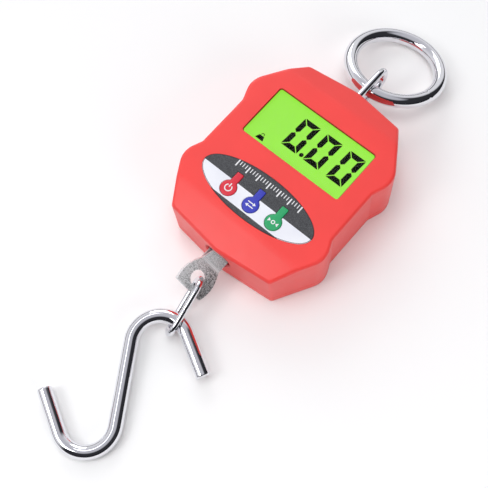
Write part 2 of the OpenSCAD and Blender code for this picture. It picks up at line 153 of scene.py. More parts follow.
def box_ring(x0, x1, y0, y1, r, n=6):
    """A function of d: the rounded rectangle moved in by d."""
    corners = [(x1, y1, r), (x1, y0, r), (x0, y0, r), (x0, y1, r)]
    return lambda d: [p for a in rounded(corners_inset(corners, d), n) for p in a]


def circle_ring(x, y, r, n=48):
    return lambda d: [Vector((x + (r - d) * math.cos(-2 * math.pi * i / n),
                              y + (r - d) * math.sin(-2 * math.pi * i / n))) for i in range(n)]


def ellipse_ring(x, y, a, b, n=128):
    return lambda d: [Vector((x + (a - d) * math.cos(-2 * math.pi * i / n),
                              y + (b - d) * math.sin(-2 * math.pi * i / n))) for i in range(n)]


# ---- meshes ----

class Solid:
    """Vertices in millimetres and faces of one or more closed shells."""

    def __init__(self):
        self.verts, self.faces = [], []

    def add(self, verts, faces):
        base = len(self.verts)
        self.verts += [Vector(v) for v in verts]
        self.faces += [tuple(base + i for i in f) for f in faces]
        return self

    def moved(self, matrix):
        self.verts = [matrix @ v for v in self.verts]
        return self

    def mesh(self, name):
        me = bpy.data.meshes.new(name)
        me.from_pydata([v * MM for v in self.verts], [], self.faces)
        bm = bmesh.new()
        bm.from_mesh(me)
        bmesh.ops.remove_doubles(bm, verts=bm.verts, dist=1e-7)
        bmesh.ops.recalc_face_normals(bm, faces=bm.faces)
        bm.to_mesh(me)
        bm.free()
        return me


def loft(rings, caps=True):
    """A closed skin through rings of 3-D points, with flat ends."""
    n = len(rings[0])
    verts = [p for ring in rings for p in ring]
    faces = [(k * n + i, k * n + (i + 1) % n, (k + 1) * n + (i + 1) % n, (k + 1) * n + i)
             for k in range(len(rings) - 1) for i in range(n)]
    if caps:
        faces += [tuple(range(n - 1, -1, -1)), tuple((len(rings) - 1) * n + i for i in range(n))]
    return Solid().add(verts, faces)


def prism(plan, levels):
    """A loft of plan(d) at each (d, z)."""
    return loft([[Vector((p.x, p.y, z)) for p in plan(d)] for d, z in levels])


def quarter(r, n=5):
    """(inset, drop) pairs that round an edge of radius r, from the wall to the face."""
    return [(r * (1 - math.cos(t)), r * (1 - math.sin(t)))
            for t in (math.pi / 2 * i / n for i in range(n + 1))]


def eased(plan, z0, z1, low=0.0, high=0.0, n=4):
    """A prism whose lower and upper edges are rounded."""
    levels = [(d, z0 + drop) for d, drop in reversed(quarter(low, n))] if low else [(0.0, z0)]
    levels += [(d, z1 - drop) for d, drop in quarter(high, n)] if high else [(0.0, z1)]
    return prism(plan, levels)


def case_solid(inset, z_low, drop, edge, low_edge=0.0):
    """The case's shape moved in by inset: its top follows the front face lowered by drop."""
    rings = []
    for d, rise in reversed(quarter(low_edge)) if low_edge else [(0.0, 0.0)]:
        rings.append([Vector((p.x, p.y, z_low + rise)) for p in case_ring(inset + d)])
    for d, fall in quarter(edge):
        rings.append([Vector((p.x, p.y, face_z(p.y, drop + fall))) for p in case_ring(inset + d)])
    skin = loft(rings, caps=False)
    n = len(rings[0])
    skin.faces.append(tuple(range(n - 1, -1, -1)))
    top = [Vector((p.x, p.y)) for p in rings[-1]]
    inside = []
    for crease in (CREASE_TOP, CREASE_BOTTOM):
        for k in range(-3, 4):
            y = crease + k * CREASE_BLEND / 3
            reach = max(p.x for p in case_ring(inset + edge) if abs(p.y - y) < 1.2) - 1.0
            steps = 24
            inside += [Vector((reach * (2 * i / steps - 1), y)) for i in range(steps + 1)]
    edges = [(i, (i + 1) % n) for i in range(n)]
    _, _, tris, origin, _, _ = delaunay_2d_cdt(top + inside, edges, [], 1, 1e-5)
    index = [o[0] for o in origin]
    base = len(skin.verts)
    skin.verts += [Vector((p.x, p.y, face_z(p.y, drop))) for p in inside]
    last = (len(rings) - 1) * n
    for t in tris:
        skin.faces.append(tuple(last + index[i] if index[i] < n else base + index[i] - n for i in t))
    return skin


def boolean(solid, parts, operation):
    """solid joined with, cut by or cut to parts."""
    other = Solid()
    for p in parts:
        other.add(p.verts, p.faces)
    a = bpy.data.objects.new("bool_a", solid.mesh("bool_a"))
    b = bpy.data.objects.new("bool_b", other.mesh("bool_b"))
    for o in (a, b):
        bpy.context.scene.collection.objects.link(o)
    mod = a.modifiers.new("cut", "BOOLEAN")
    mod.operation, mod.solver, mod.object = operation, "EXACT", b
    mod.use_self = operation == "UNION"
    result = bpy.data.meshes.new_from_object(a.evaluated_get(bpy.context.evaluated_depsgraph_get()))
    out = Solid().add([v.co / MM for v in result.vertices],
                      [tuple(p.vertices) for p in result.polygons])
    for o in (a, b):
        me = o.data
        bpy.data.objects.remove(o)
        bpy.data.meshes.remove(me)
    bpy.data.meshes.remove(result)
    return out


def cut(solid, *parts):
    return boolean(solid, parts, "DIFFERENCE")


def join(solid, *parts):
    return boolean(solid, parts, "UNION")


def frames_along(path, closed):
    """A frame (side, up) at each point of path, turned no more than it must."""
    n = len(path)
    ahead = [path[(i + 1) % n] if closed or i < n - 1 else path[i] for i in range(n)]
    behind = [path[i - 1] if closed or i > 0 else path[i] for i in range(n)]
    tangents = [(a - b).normalized() for a, b in zip(ahead, behind)]
    side = tangents[0].orthogonal().normalized()
    out = []
    for t in tangents:
        side = (side - t * side.dot(t)).normalized()
        out.append((side, t.cross(side)))
    if closed:
        last, first = out[-1][0], out[0][0]
        slip = math.atan2(last.cross(first).dot(tangents[0]), last.dot(first))
        for i in range(n):
            turn = Matrix.Rotation(slip * i / n, 3, tangents[i])
            out[i] = (turn @ out[i][0], turn @ out[i][1])
    return out


def sweep(path, radius, closed=False, sides=40):
    """A round bar along path. radius is a function of the share of the way along it."""
    n = len(path)
    rings = []
    for i, (at, (side, up)) in enumerate(zip(path, frames_along(path, closed))):
        r = radius(i / (n if closed else n - 1))
        rings.append([at + r * (math.cos(a) * side + math.sin(a) * up)
                      for a in (2 * math.pi * k / sides for k in range(sides))])
    if closed:
        return loft(rings + [rings[0]], caps=False)
    return loft(rings)


def rounded_ends(path, r, edge):
    """path with extra points at both ends, and the radius at each, so that a bar's ends are eased."""
    def end(a, b):
        way = (b - a).normalized()
        return [(a + way * fall, r - inset) for inset, fall in reversed(quarter(edge, 6))]
    pairs = end(path[0], path[1]) + [(p, r) for p in path[1:-1]] + end(path[-1], path[-2])[::-1]
    points, radii = [p for p, _ in pairs], [q for _, q in pairs]
    return points, lambda share: radii[round(share * (len(radii) - 1))]


def turn_points(centre, a, b, r, start, stop, n):
    """Points of an arc round centre in the plane of the unit vectors a and b, in degrees."""
    return [centre + r * (math.cos(t) * a + math.sin(t) * b)
            for t in (math.radians(start + (stop - start) * i / n) for i in range(n + 1))]


# ---- materials ----

def new_material(name):
    mat = bpy.data.materials.new(name)
    mat.use_nodes = True
    tree = mat.node_tree
    return mat, tree, tree.nodes["Principled BSDF"]


def link(tree, a, b):
    tree.links.new(a, b)


def noise(tree, scale, detail=3.0, rough=0.5, stretch=(1, 1, 1)):
    """Noise in object space; scale is in features per metre."""
    coords = tree.nodes.new("ShaderNodeTexCoord")
    place = tree.nodes.new("ShaderNodeMapping")
    place.inputs["Scale"].default_value = stretch
    tex = tree.nodes.new("ShaderNodeTexNoise")
    tex.inputs["Scale"].default_value = scale
    tex.inputs["Detail"].default_value = detail
    tex.inputs["Roughness"].default_value = rough
    link(tree, coords.outputs["Object"], place.inputs["Vector"])
    link(tree, place.outputs["Vector"], tex.inputs["Vector"])
    return tex.outputs["Fac"]


def ramp(tree, value, stops):
    node = tree.nodes.new("ShaderNodeValToRGB")
    ends = node.color_ramp.elements
    while len(ends) < len(stops):
        ends.new(0.5)
    for e, (at, colour) in zip(ends, stops):
        e.position = at
        e.color = (*colour, 1.0)
    link(tree, value, node.inputs["Fac"])
    return node.outputs["Color"]


def spread(tree, value, low, high):
    node = tree.nodes.new("ShaderNodeMapRange")
    node.inputs["To Min"].default_value = low
    node.inputs["To Max"].default_value = high
    link(tree, value, node.inputs["Value"])
    return node.outputs["Result"]


def add_bump(tree, shader, value, depth):
    node = tree.nodes.new("ShaderNodeBump")
    node.inputs["Distance"].default_value = depth
    node.inputs["Strength"].default_value = 1.0
    link(tree, value, node.inputs["Height"])
    link(tree, node.outputs["Normal"], shader.inputs["Normal"])


def shade(colour, k):
    return tuple(min(1.0, c * k) for c in colour)


def plastic(name, colour, roughness=0.4, vary=0.05, grain=2500.0, grain_depth=0.00001, coat=0.0,
            subsurface=0.0):
    """Moulded plastic: faint cloudiness in its colour, a fine grain, and gloss that wanders."""
    mat, tree, bsdf = new_material(name)
    cloud = noise(tree, 45.0, 4.0)
    link(tree, ramp(tree, cloud, [(0.3, shade(colour, 1 - vary)), (0.7, shade(colour, 1 + vary))]),
         bsdf.inputs["Base Color"])
    link(tree, spread(tree, noise(tree, 160.0), roughness - 0.06, roughness + 0.06),
         bsdf.inputs["Roughness"])
    add_bump(tree, bsdf, noise(tree, grain, 2.0), grain_depth)
    bsdf.inputs["Coat Weight"].default_value = coat
    bsdf.inputs["Coat Roughness"].default_value = 0.15
    if subsurface:
        bsdf.inputs["Subsurface Weight"].default_value = subsurface
        bsdf.inputs["Subsurface Radius"].default_value = (0.002, 0.0006, 0.0005)
        bsdf.inputs["Subsurface Scale"].default_value = 1.0
    return mat


def metal(name, colour, roughness, vary=0.06, speckle=300.0, depth=0.000004, wander=0.03,
          stretch=(1, 1, 1)):
    """Plated or milled metal, with fine unevenness in its tone, gloss and surface."""
    mat, tree, bsdf = new_material(name)
    bsdf.inputs["Metallic"].default_value = 1.0
    spots = noise(tree, speckle, 5.0, 0.6, stretch)
    link(tree, ramp(tree, spots, [(0.3, shade(colour, 1 - vary)), (0.7, shade(colour, 1 + vary))]),
         bsdf.inputs["Base Color"])
    link(tree, spread(tree, noise(tree, speckle * 0.6, 3.0, 0.5, stretch),
                      max(0.02, roughness - wander), roughness + wander), bsdf.inputs["Roughness"])
    add_bump(tree, bsdf, noise(tree, speckle * 2.5, 3.0, 0.6, stretch), depth)
    return mat


def glow(name, colour):
    """The lit display: an even glow, a shade brighter in patches."""
    mat, tree, bsdf = new_material(name)
    tone = ramp(tree, noise(tree, 22.0, 2.0),
                [(0.3, shade(colour, 0.97)), (0.7, shade(colour, 1.03))])
    link(tree, tone, bsdf.inputs["Emission Color"])
    bsdf.inputs["Base Color"].default_value = (0.01, 0.02, 0.003, 1.0)
    bsdf.inputs["Emission Strength"].default_value = 1.0
    bsdf.inputs["Roughness"].default_value = 0.5
    return mat


def clear(name, roughness, ior):
    """Clear plastic whose gloss wanders a little."""
    mat, tree, bsdf = new_material(name)
    bsdf.inputs["Transmission Weight"].default_value = 1.0
    bsdf.inputs["IOR"].default_value = ior
    bsdf.inputs["Base Color"].default_value = (0.99, 1.0, 0.99, 1.0)
    link(tree, spread(tree, noise(tree, 90.0), roughness * 0.5, roughness * 1.5),
         bsdf.inputs["Roughness"])
    return mat


def along_axis(tree, axis):
    """The place along one axis of the frame, in metres."""
    coords = tree.nodes.new("ShaderNodeTexCoord")
    split = tree.nodes.new("ShaderNodeSeparateXYZ")
    link(tree, coords.outputs["Object"], split.inputs["Vector"])
    return split.outputs[axis]


def slope(tree, axis, low, high):
    """0 to 1 along one axis, between low and high millimetres."""
    node = tree.nodes.new("ShaderNodeMapRange")
    node.inputs["From Min"].default_value = low * MM
    node.inputs["From Max"].default_value = high * MM
    link(tree, along_axis(tree, axis), node.inputs["Value"])
    return node.outputs["Result"]


def math_node(tree, operation, a, b):
    """A Math node with the value a and the value or number b."""
    node = tree.nodes.new("ShaderNodeMath")
    node.operation = operation
    link(tree, a, node.inputs[0])
    if isinstance(b, float):
        node.inputs[1].default_value = b
    else:
        link(tree, b, node.inputs[1])
    return node.outputs["Value"]


def mixed(tree, share, a, b):
    """Colour a where share is 0 and colour b where it is 1."""
    node = tree.nodes.new("ShaderNodeMix")
    node.data_type = "RGBA"
    link(tree, share, node.inputs[0])
    link(tree, a, node.inputs[6])
    if isinstance(b, tuple):
        node.inputs[7].default_value = (*b, 1.0)
    else:
        link(tree, b, node.inputs[7])
    return node.outputs[2]


# the lug's bend, where a highlight is painted on and the gloss is raised, and the half width over
# which its flecks darken as painted shade on one side
PAINTED_HIGHLIGHT_Y = (-58.2, -53.2)
PAINTED_SHADE_X = (-5.0, 6.0)


def lug_metal(name):
    """Dull plated strap: coarser flecks that darken to one side as painted shade, and a painted
    highlight with more gloss along its bend.
    """
    mat, tree, bsdf = new_material(name)
    bsdf.inputs["Metallic"].default_value = 0.45
    flecks = noise(tree, 1700.0, 5.0, 0.8)
    # the flecks darken towards +x: painted shade on that side of the plate
    painted_shade_shift = spread(tree, slope(tree, "X", *PAINTED_SHADE_X), -0.07, 0.08)
    fleck = ramp(tree, math_node(tree, "SUBTRACT", flecks, painted_shade_shift), [
        (0.34, (0.06, 0.062, 0.066)), (0.46, (0.45, 0.455, 0.46)), (0.58, (0.88, 0.89, 0.9))])
    # a painted highlight along the bend: the base colour turns pale there, and the roughness drops
    painted_highlight_and_gloss = ramp(tree, slope(tree, "Y", *PAINTED_HIGHLIGHT_Y), [
        (0.28, (0, 0, 0)), (0.4, (1, 1, 1)), (0.6, (1, 1, 1)), (0.75, (0.4, 0.4, 0.4))])
    link(tree, mixed(tree, painted_highlight_and_gloss, fleck, (0.9, 0.9, 0.91)), bsdf.inputs["Base Color"])
    link(tree, spread(tree, painted_highlight_and_gloss, 0.4, 0.2), bsdf.inputs["Roughness"])
    add_bump(tree, bsdf, flecks, 0.00005)
    return mat


# the off-white band's edges, and the battery jacket's length
BAND_LOW, BAND_TOP = -31.1, -22.1
JACKET_Y = (-24.0, 24.0)


def label_film(name):
    """Printed film: charcoal with a fine fleck, and an off-white band across the buttons."""
    mat, tree, bsdf = new_material(name)
    fleck = ramp(tree, noise(tree, 2600.0, 2.0, 0.7),
                 [(0.38, (0.030, 0.031, 0.035)), (0.66, (0.085, 0.088, 0.095))])
    pale = ramp(tree, noise(tree, 60.0, 3.0),
                [(0.3, (0.76, 0.77, 0.84)), (0.7, (0.86, 0.87, 0.92))])
    y = along_axis(tree, "Y")
    in_band = math_node(tree, "MULTIPLY", math_node(tree, "LESS_THAN", y, BAND_TOP * MM),
                        math_node(tree, "GREATER_THAN", y, BAND_LOW * MM))
    link(tree, mixed(tree, in_band, fleck, pale), bsdf.inputs["Base Color"])
    bsdf.inputs["Roughness"].default_value = 0.38
    add_bump(tree, bsdf, noise(tree, 3000.0, 2.0), 0.000008)
    return mat


def cell_jacket(name):
    """A battery's printed jacket: charcoal, with a coloured end."""
    mat, tree, bsdf = new_material(name)
    link(tree, ramp(tree, slope(tree, "Y", *JACKET_Y), [
        (0.0, (0.02, 0.03, 0.05)), (0.68, (0.025, 0.035, 0.06)), (0.7, (0.62, 0.3, 0.05))]),
        bsdf.inputs["Base Color"])
    bsdf.inputs["Roughness"].default_value = 0.3
    add_bump(tree, bsdf, noise(tree, 900.0, 2.0), 0.000008)
    return mat


MATERIALS = {
    "case_red": plastic("case_red", (0.88, 0.058, 0.052), 0.36, 0.03, 3200.0, 0.000012,
                        subsurface=0.04),
    "lens": clear("lens", 0.03, 1.16),
    "lcd_green": glow("lcd_green", (0.30, 0.80, 0.045)),
    "lcd_ink": plastic("lcd_ink", (0.004, 0.006, 0.003), 0.5, 0.1),
    "rim_ink": plastic("rim_ink", (0.03, 0.03, 0.034), 0.45, 0.1),
    # painted shade of the window's recess: a dark brown frame laid on the lens's edge
    "painted_recess_shade": plastic("painted_recess_shade", (0.10, 0.035, 0.006), 0.5, 0.1),
    "print_white": plastic("print_white", (0.8, 0.8, 0.82), 0.45, 0.03, 1800.0, 0.000006),
    "white_plastic": plastic("white_plastic", (0.78, 0.78, 0.74), 0.5),
    "backlight": plastic("backlight", (0.85, 0.92, 0.78), 0.35),
    "contact_rubber": plastic("contact_rubber", (0.07, 0.07, 0.075), 0.7, 0.2, 900.0, 0.00003),
    "board_green": plastic("board_green", (0.012, 0.12, 0.035), 0.35, 0.25, 600.0, 0.00002, 0.3),
    "chip_black": plastic("chip_black", (0.012, 0.012, 0.014), 0.6, 0.15, 4000.0, 0.00001),
    "switch_black": plastic("switch_black", (0.02, 0.02, 0.022), 0.5),
    "button_red": plastic("button_red", (0.68, 0.022, 0.045), 0.36, 0.05, 2600.0, 0.00001, 0.1),
    "button_blue": plastic("button_blue", (0.035, 0.045, 0.45), 0.36, 0.05, 2600.0, 0.00001, 0.1),
    "button_green": plastic("button_green", (0.02, 0.36, 0.13), 0.36, 0.05, 2600.0, 0.00001, 0.1),
    "label_film": label_film("label_film"),
    "cell_alloy": metal("cell_alloy", (0.62, 0.63, 0.66), 0.32, 0.06, 400.0, 0.00001,
                        stretch=(1, 12, 1)),
    "gauge_film": plastic("gauge_film", (0.55, 0.3, 0.04), 0.4, 0.15),
    "lead_red": plastic("lead_red", (0.5, 0.03, 0.03), 0.4),
    "bright_steel": metal("bright_steel", (0.6, 0.61, 0.64), 0.22, 0.08, 500.0, 0.000008),
    "chrome_wire": metal("chrome_wire", (0.80, 0.80, 0.835), 0.05, 0.02, 260.0, 0.0000015, 0.02),
    "washer_nylon": plastic("washer_nylon", (0.78, 0.74, 0.62), 0.5),
    "lug_steel": lug_metal("lug_steel"),
    "cell_jacket": cell_jacket("cell_jacket"),
    "spring_steel": metal("spring_steel", (0.7, 0.7, 0.72), 0.18, 0.05, 600.0),
    "lead_black": plastic("lead_black", (0.01, 0.01, 0.01), 0.4),
    "screw_steel": metal("screw_steel", (0.5, 0.51, 0.54), 0.28, 0.1, 900.0, 0.00001),
}
# ink behind the lens has hardly any sheen of its own
ink_shader = MATERIALS["lcd_ink"].node_tree.nodes["Principled BSDF"]
ink_shader.inputs["Specular IOR Level"].default_value = 0.05


# ---- pieces ----

def add_piece(name, solid, slot, body, replaces=(), material=None, smooth=38.0, bevel=0.0):
    me = solid.mesh(name)
    me.materials.append(MATERIALS[material or slot])
    for p in me.polygons:
        p.use_smooth = True
    me.set_sharp_from_angle(angle=math.radians(smooth))
    obj = bpy.data.objects.new(name, me)
    bpy.context.scene.collection.objects.link(obj)
    if bevel:
        mod = obj.modifiers.new("edges", "BEVEL")
        mod.width, mod.segments, mod.limit_method = bevel * MM, 2, "ANGLE"
        mod.angle_limit = math.radians(40)
    mod = obj.modifiers.new("normals", "WEIGHTED_NORMAL")
    mod.keep_sharp = True
    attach(obj, body)
    if replaces:
        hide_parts(*replaces)


# front cover

BUTTON_Y = -26.4
BUTTON_PITCH = 13.1
BUTTON_R = 3.9
TAB_W, TAB_TOP = 3.5, 8.8
BUTTON_GAP = 0.2
WINDOW = (-28.0, 28.0, -0.3, 28.1)
LENS_EDGE = 1.5


def keyhole_ring(x, grow=0.0, n=40):
    """A disc with a tab towards the display; a function of d, moved in by d."""
    def ring(d):
        r, w, top = BUTTON_R + grow - d, TAB_W / 2 + grow - d, TAB_TOP + grow - d
        lean = math.asin(w / r)
        out = []
        for i in range(n + 1):
            a = math.pi / 2 - lean - (2 * math.pi - 2 * lean) * i / n
            out.append(Vector((r * math.cos(a), r * math.sin(a))))
        corner = min(0.45, 0.7 * w)
        for cx, start in ((-w + corner, math.pi), (w - corner, math.pi / 2)):
            out += [Vector((cx + corner * math.cos(start - math.pi / 2 * i / 5),
                            top - corner + corner * math.sin(start - math.pi / 2 * i / 5)))
                    for i in range(6)]
        return [Vector((x + p.x, BUTTON_Y + p.y)) for p in out]
    return ring


def flared(plan, z0, z1, flare, past=1.0):
    """A cutter whose mouth at z1 is eased by flare."""
    levels = [(0.0, z0)] + [(-inset, z1 - fall) for inset, fall in
                            ((flare * (1 - math.cos(t)), flare * (1 - math.sin(t)))
                             for t in (math.pi / 2 * i / 4 for i in range(5)))]
    return prism(plan, levels + [(-flare, z1 + past)])


def along_y(solid, at):
    """Turns a solid whose axis is +Z so that it runs along +Y from at."""
    return solid.moved(Matrix.Translation(Vector(at)) @ Matrix.Rotation(-math.pi / 2, 4, "X"))


def cylinder(x, y, r, z0, z1, ease=0.0, n=40):
    return eased(circle_ring(x, y, r, n), z0, z1, ease, ease, 3)


LABEL_MID = (LABEL_LOW + LABEL_HIGH) / 2
LABEL_HALF = (LABEL_HIGH - LABEL_LOW) / 2
PORT_R = 6.8
PORT_LIP = 0.7
PORT_START, PORT_LIP_AT, PORT_DEPTH = 1.0, 1.35, 9.0
EYE_HALF_W = 6.2
EYE_WIRE_R = 1.8
EYE_HOLE_GAP = 0.3
CASE_BOSS_R, CASE_THREAD_R, CASE_THREAD_DEPTH = 3.2, 1.45, 12.0
BOARD_BOSS_R, BOARD_THREAD_R, BOARD_THREAD_DEPTH = 2.4, 1.0, 3.8
BOARD_TOP = 23.2
# how far a cutter runs past the surface that it opens
PAST = 1.0


def front_cover():
    shell = cut(case_solid(0.0, SEAM_Z, 0.0, EDGE_R, SEAM_R),
                case_solid(WALL, SEAM_Z - 1.0, WALL, 0.8))
    bosses = [cylinder(x, y, CASE_BOSS_R, SEAM_Z, INNER_Z - 0.5) for x, y in SCREWS]
    bosses += [cylinder(x, y, BOARD_BOSS_R, BOARD_TOP, INNER_Z + 0.3) for x, y in BOARD_SCREWS]
    shell = join(shell, *bosses)
    window = flared(box_ring(*WINDOW, 1.5), INNER_Z - 1, FACE_Z, 0.18)
    x0, x1, y0, y1 = WINDOW
    seat = prism(box_ring(x0 - LENS_EDGE, x1 + LENS_EDGE, y0 - LENS_EDGE, y1 + LENS_EDGE, 1.0),
                 [(0.0, INNER_Z - 1.2), (0.0, LENS_HIGH.z)])
    recess = flared(ellipse_ring(0.0, LABEL_MID.y, LABEL_HALF.x + 0.12, LABEL_HALF.y + 0.12),
                    LABEL_LOW.z, FACE_Z, 0.15)
    keys = [prism(keyhole_ring(i * BUTTON_PITCH, BUTTON_GAP),
                  [(0.0, INNER_Z - 1.4), (0.0, FACE_Z + 2)]) for i in (-1, 0, 1)]
    screws = [prism(circle_ring(x, y, CASE_THREAD_R, 24),
                    [(0.0, SEAM_Z - PAST), (0.0, SEAM_Z + CASE_THREAD_DEPTH)]) for x, y in SCREWS]
    screws += [prism(circle_ring(x, y, BOARD_THREAD_R, 20),
                     [(0.0, BOARD_TOP - 1.2), (0.0, BOARD_TOP + BOARD_THREAD_DEPTH)])
               for x, y in BOARD_SCREWS]
    shell = cut(shell, window, *screws)
    shell = cut(shell, seat)
    shell = cut(shell, recess)
    shell = cut(shell, *keys)
    mouth = [(-PORT_LIP, 0.0), (-PORT_LIP, PORT_LIP_AT), (0.0, PORT_LIP_AT + PORT_LIP),
             (0.0, PORT_DEPTH)]
    port = along_y(prism(circle_ring(0.0, 0.0, PORT_R, 64), mouth),
                   (0.0, CASE_LOW.y - PORT_START, AXIS_Z))
    hole = circle_ring(0.0, 0.0, EYE_WIRE_R + EYE_HOLE_GAP, 32)
    holes = [along_y(prism(hole, [(0.0, 0.0), (0.0, 9.0)]),
                     (0.0, CASE_HIGH.y - 7.0, AXIS_Z + s * EYE_HALF_W)) for s in (-1, 1)]
    return cut(shell, port, *holes)


add_piece("front_cover_skin", front_cover(), "case_red", "case", ["front_cover"])

# rear cover

DOOR_LOW, DOOR_HIGH = box_mm("battery_door")
DOOR_GAP = 0.25
BAY = (-34.9, -13.1, -25.5, 25.5)
BAY_WALL, BAY_TOP = 1.0, 13.4
REAR_EDGE = 1.4
LIP_H, LIP_T = 2.0, 1.0
SCREW_WELL_R, SCREW_WELL_DEPTH, SCREW_HOLE_R = 2.9, 4.2, 1.6


def rear_cover():
    lip_top = SEAM_Z + LIP_H

    def flat_solid(inset, z0, z1, low, high):
        return prism(case_ring, [(inset + d, z0 + rise) for d, rise in reversed(quarter(low))]
                     + [(inset + d, z1 - fall) for d, fall in quarter(high)])
    shell = cut(flat_solid(0.0, 0.0, SEAM_Z, REAR_EDGE, SEAM_R),
                prism(case_ring, [(WALL, WALL), (WALL, SEAM_Z + PAST)]))
    lip_inset = WALL + 0.1
    lip = cut(prism(case_ring, [(WALL - 0.05, WALL - 0.2), (lip_inset, SEAM_Z), (lip_inset, lip_top)]),
              prism(case_ring, [(lip_inset + LIP_T, WALL - 0.5), (lip_inset + LIP_T, lip_top + PAST)]))
    x0, x1, y0, y1 = BAY
    bay = prism(box_ring(x0 - BAY_WALL, x1 + BAY_WALL, y0 - BAY_WALL, y1 + BAY_WALL, 0.8),
                [(0.0, 1.0), (0.0, BAY_TOP)])
    shell = join(shell, lip)
    shell = join(shell, bay, *[cylinder(x, y, CASE_BOSS_R, 1.0, SEAM_Z) for x, y in SCREWS])
    shell = cut(shell, prism(box_ring(*BAY, 0.4), [(0.0, -PAST), (0.0, BAY_TOP + PAST)]))
    door = box_ring(DOOR_LOW.x - DOOR_GAP, DOOR_HIGH.x + DOOR_GAP,
                    DOOR_LOW.y - DOOR_GAP, DOOR_HIGH.y + DOOR_GAP, 1.2)
    shell = cut(shell, prism(door, [(-0.3, -PAST), (-0.3, 0.0), (0.0, 0.3), (0.0, WALL - 0.1)]))
    wells = [prism(circle_ring(x, y, SCREW_WELL_R, 40),
                   [(-0.35, -PAST), (-0.35, 0.0), (0.0, 0.35), (0.0, SCREW_WELL_DEPTH)])
             for x, y in SCREWS]
    shell = cut(shell, *wells)
    drill = [prism(circle_ring(x, y, SCREW_HOLE_R, 24), [(0.0, 3.0), (0.0, SEAM_Z + PAST)])
             for x, y in SCREWS]
    clear_lip = [prism(circle_ring(x, y, CASE_BOSS_R + 0.15, 40),
                       [(0.0, SEAM_Z), (0.0, lip_top + PAST)]) for x, y in SCREWS]
    return cut(cut(shell, *drill), *clear_lip)


add_piece("rear_cover_skin", rear_cover(), "case_red", "case", ["rear_cover"])


def arrow_ring(x, y):
    """A plain arrow head that shows which way the door comes off."""
    corners = [(x - 3.4, y + 2.2, 0.3), (x + 3.4, y + 2.2, 0.3), (x, y - 2.6, 0.3)]
    return lambda d: [p for a in rounded(corners_inset(corners, d), 4) for p in a]


def battery_door():
    low, high, thick = DOOR_LOW, DOOR_HIGH, 2.0
    mid, slot_x, slot_half = (low.x + high.x) / 2, 4.3, 0.3
    panel = eased(box_ring(low.x, high.x, low.y, high.y, 1.0), 0.0, thick, 0.3, 0.15)
    slots = [prism(box_ring(mid + s * slot_x - slot_half, mid + s * slot_x + slot_half,
                            low.y - 2, low.y + 8, 0.28), [(0.0, -1.0), (0.0, thick + 1)])
             for s in (-1, 1)]
    grips = [prism(box_ring(mid - 3, mid + 3, low.y + 1.2 + i, low.y + 1.75 + i, 0.2),
                   [(-0.12, -1.0), (-0.12, 0.0), (0.0, 0.15), (0.0, 0.4)]) for i in range(6)]
    hook_w = 4.0
    hooks = [eased(box_ring(x, x + hook_w, BAY[3] - 1.6, BAY[3] - 0.4, 0.3),
                   thick - 0.2, high.z, 0.0, 0.2) for x in (low.x + 3, high.x - 3 - hook_w)]
    arrow = prism(arrow_ring(mid, low.y + 13.0),
                  [(-0.1, -1.0), (-0.1, 0.0), (0.0, 0.12), (0.0, 0.35)])
    return join(cut(panel, *slots, *grips, arrow), *hooks)


add_piece("battery_door_panel", battery_door(), "case_red", "battery_door", ["battery_door"])

# display

MARKS_SHIFT = Vector((-0.30, 0.25))
DIGIT_LOW, DIGIT_HIGH = 6.2, 23.3
DIGIT_W = 9.0
DIGIT_LEFT = (-9.95, 2.85, 16.15)
DIGIT_SLANT = 0.055
POINT_AT, POINT_R = (1.2, 7.4), 1.05
STROKE = 2.6
STROKE_GAP = 0.3
WEIGHT_X, WEIGHT_LOW, WEIGHT_HIGH = -18.8, 1.4, 3.6
WEIGHT_FOOT, WEIGHT_TOP = 2.2, 1.3
WEIGHT_EYE_Y, WEIGHT_EYE_R, WEIGHT_EYE_HOLE_R = 4.15, 0.85, 0.5
INK_Z = GLASS_TOP + 0.01
INK_T = 0.05


def plate(points, z0, z1):
    return loft([[Vector((p[0], p[1], z)) for p in points] for z in (z0, z1)])


def digit_strokes():
    """The six lit strokes of a 0, as outlines in a box of DIGIT_W by the digit's height."""
    w, h, s, g = DIGIT_W, DIGIT_HIGH - DIGIT_LOW, STROKE, STROKE_GAP
    mid = h / 2
    low = [(g, 0.0), (w - g, 0.0), (w - s - g, s), (s + g, s)]
    left = [(0.0, g), (0.0, mid - 0.5 * s), (0.5 * s, mid - 0.15), (s, mid - 0.55 * s), (s, s + g)]
    out = [low, left]
    out += [[(w - x, y) for x, y in left]]
    return out + [[(x, h - y) for x, y in stroke] for stroke in out]


def lcd_marks():
    marks = Solid()

    def put(points):
        shifted = [(x + DIGIT_SLANT * (y - DIGIT_LOW) + MARKS_SHIFT.x, y + MARKS_SHIFT.y)
                   for x, y in points]
        solid = plate(shifted, INK_Z, INK_Z + INK_T)
        marks.add(solid.verts, solid.faces)
    for left in DIGIT_LEFT:
        for stroke in digit_strokes():
            put([(left + x, DIGIT_LOW + y) for x, y in stroke])
    put([(POINT_AT[0] + POINT_R * math.cos(t), POINT_AT[1] + POINT_R * math.sin(t))
         for t in (2 * math.pi * i / 28 for i in range(28))])
    # a plain weight: a trapezium with a ring, in the unit's place
    put([(WEIGHT_X - WEIGHT_FOOT, WEIGHT_LOW), (WEIGHT_X + WEIGHT_FOOT, WEIGHT_LOW),
         (WEIGHT_X + WEIGHT_TOP, WEIGHT_HIGH), (WEIGHT_X - WEIGHT_TOP, WEIGHT_HIGH)])
    inner, outer = WEIGHT_EYE_HOLE_R, WEIGHT_EYE_R
    for k in range(10):
        a0, a1 = (math.radians(-20 + 22 * (k + e)) for e in (0, 1))
        put([(WEIGHT_X + r * math.cos(a), WEIGHT_EYE_Y + r * math.sin(a)) for r, a in
             ((inner, a0), (outer, a0), (outer, a1), (inner, a1))])
    return marks


